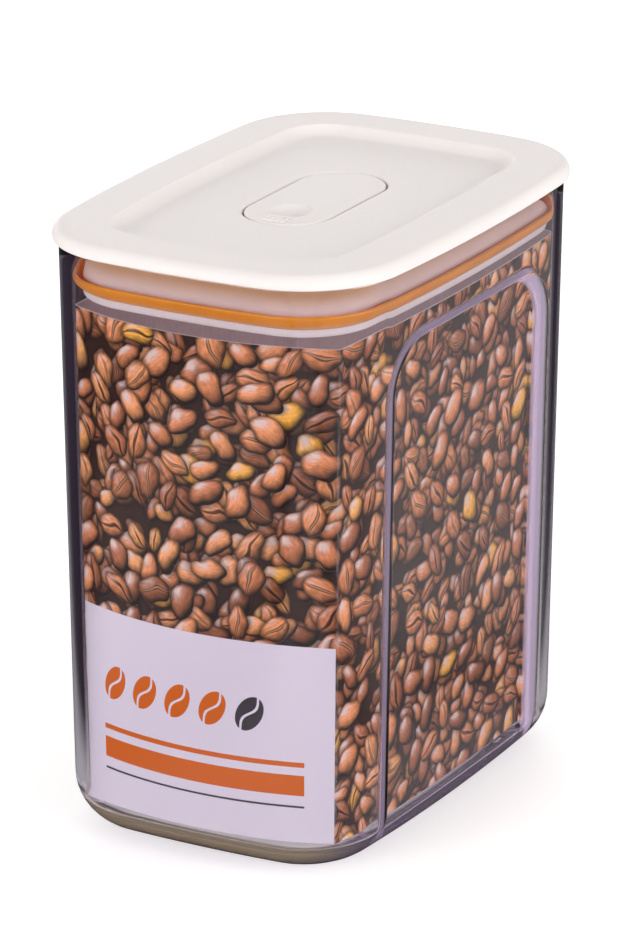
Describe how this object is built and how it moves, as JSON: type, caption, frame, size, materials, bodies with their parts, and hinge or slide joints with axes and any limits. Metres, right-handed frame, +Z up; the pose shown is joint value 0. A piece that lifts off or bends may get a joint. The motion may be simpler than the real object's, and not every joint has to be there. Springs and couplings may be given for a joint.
{
  "type": "food storage canister",
  "caption": "Clear bowed canister with grip recesses, a printed card sleeve inside and a press-in lid with a silicone gasket and a rocking vent flap.",
  "frame": {"origin": "under the middle of the base, on the surface it stands on", "axes": "+Z up, -Y out of the labelled front face, +X and -X out of the two grip recesses"},
  "size_m": [0.0886, 0.1276, 0.145],
  "materials": {
    "clear_plastic": "clear, polished, faint mauve tint in thick edges",
    "printed_card": "satin coated paper card, printed with roasted beans, white lower front panel",
    "lid_plastic": "fine matt white moulded plastic",
    "plug_plastic": "satin white moulded plastic",
    "orange_silicone": "satin orange silicone",
    "white_silicone": "satin white silicone"
  },
  "bodies": {
    "canister": {"container_body": "clear_plastic", "insert_card": "printed_card"},
    "lid": {"lid_cover": "lid_plastic", "lid_plug": "plug_plastic", "gasket": "orange_silicone"},
    "flap": {"vent_flap": "lid_plastic", "vent_plug": "white_silicone"}
  },
  "joints": [
    {"name": "lid_lift", "type": "slide", "parent": "canister", "child": "lid", "axis": [0, 0, 1], "range_m": [0, 0.1]},
    {"name": "flap_rock", "type": "hinge", "parent": "lid", "child": "flap", "pos_m": [0, -0.004, 0.141], "axis": [1, 0, 0], "range_deg": [0, 18]}
  ]
}
